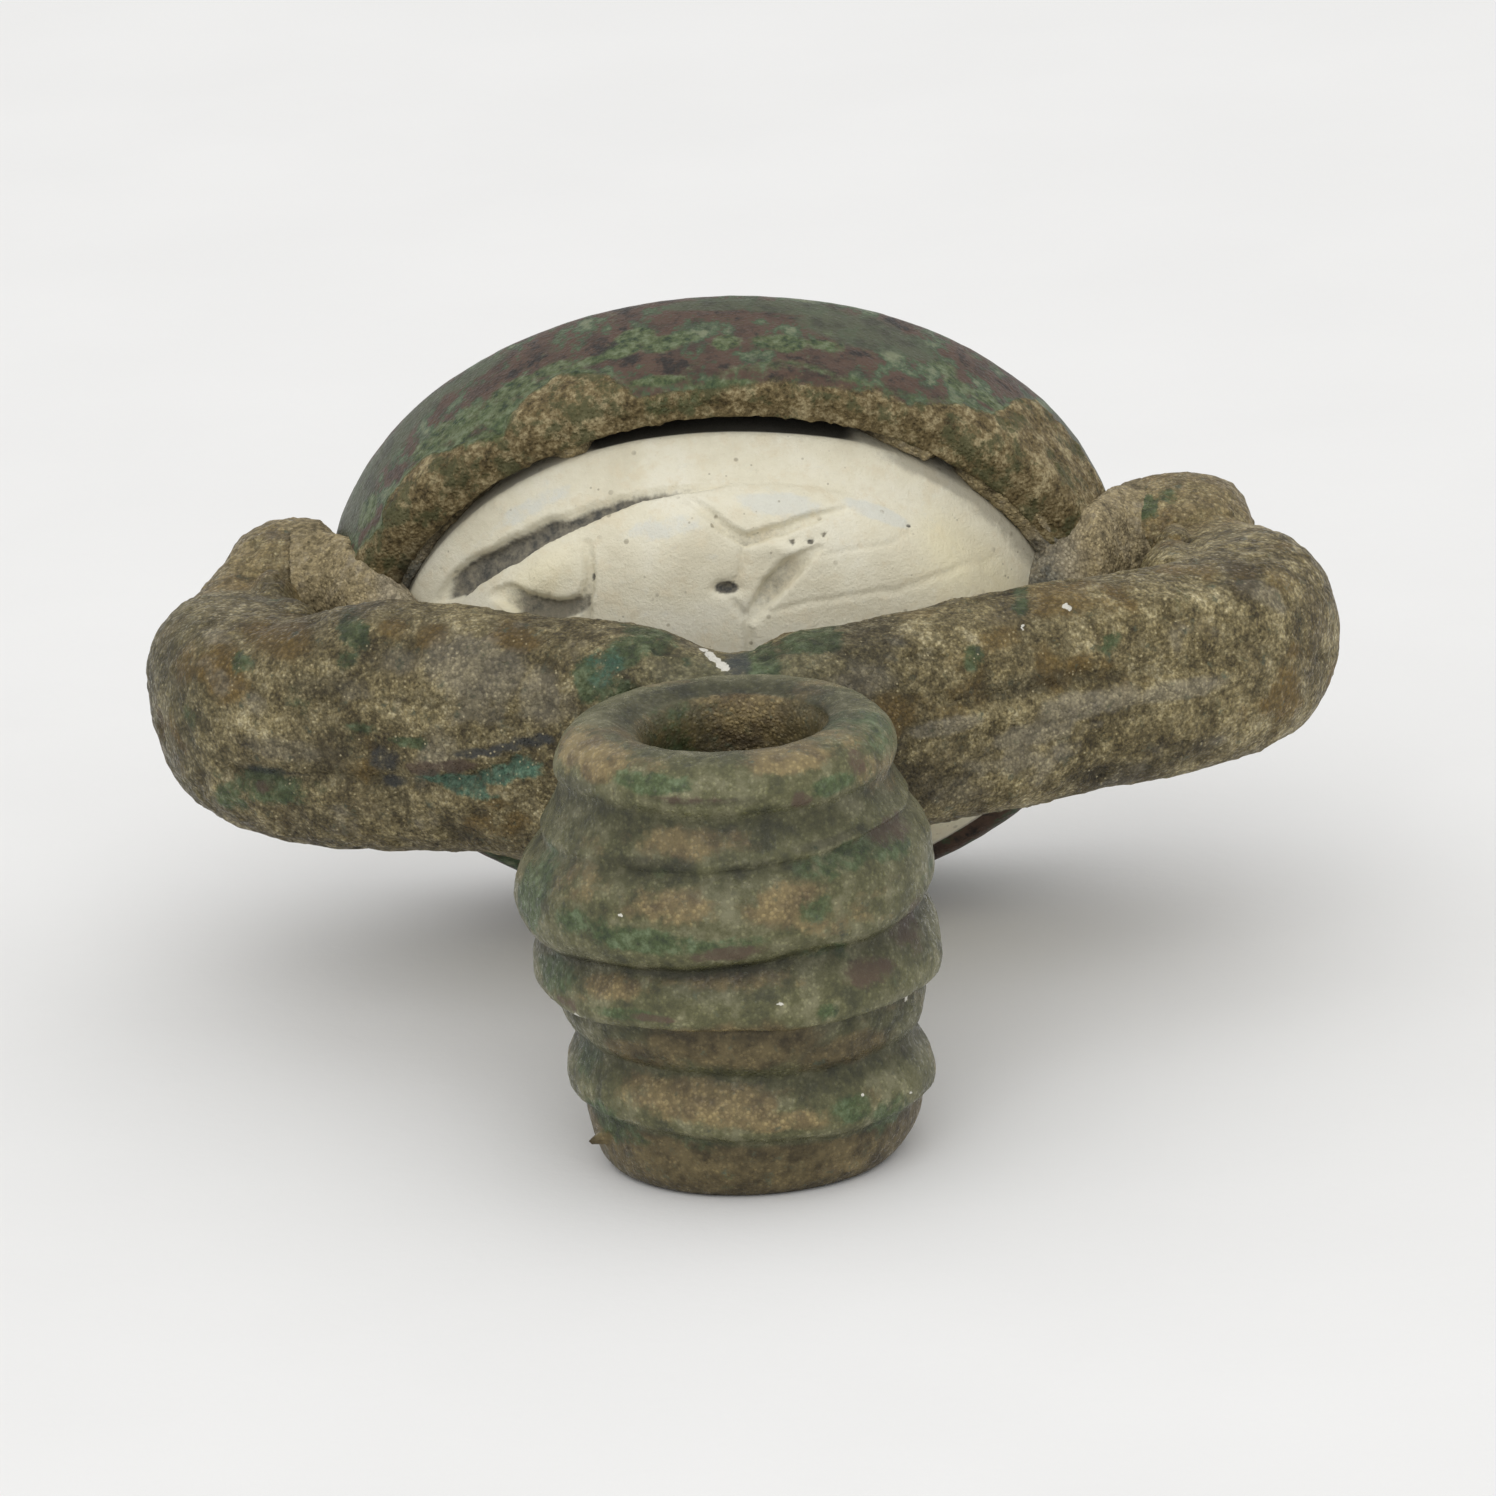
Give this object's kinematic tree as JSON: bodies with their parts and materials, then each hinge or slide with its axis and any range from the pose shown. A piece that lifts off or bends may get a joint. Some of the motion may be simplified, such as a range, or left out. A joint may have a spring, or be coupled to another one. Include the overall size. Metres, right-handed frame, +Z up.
{
  "type": "swivel seal ring",
  "caption": "Weathered swivelling seal: a bent bronze hoop with a ribbed cord tube, its inturned ends carrying an oval collar set with a carved pale scarab stone.",
  "frame": {"origin": "middle of the outer box in plan, on the level the tube's foot and the collar's lower lip rest on", "axes": "+X along the swivel axis to the right of the tube seen from the front, +Y from the tube towards the seal, +Z up"},
  "size_m": [0.025, 0.0232, 0.0139],
  "materials": {
    "crusted_bronze": "matt, earth-crusted, with green patina",
    "collar_bronze": "satin dark brown with green patina and earth",
    "pale_stone": "matt cream, finely speckled"
  },
  "bodies": {
    "hoop": {"hoop": "crusted_bronze"},
    "seal": {"collar": "collar_bronze", "scarab": "pale_stone"}
  },
  "joints": [
    {"name": "seal_swivel", "type": "hinge", "parent": "hoop", "child": "seal", "pos_m": [-0.00028, 0.00791, 0.00695], "axis": [1, 0, 0], "continuous": true}
  ]
}
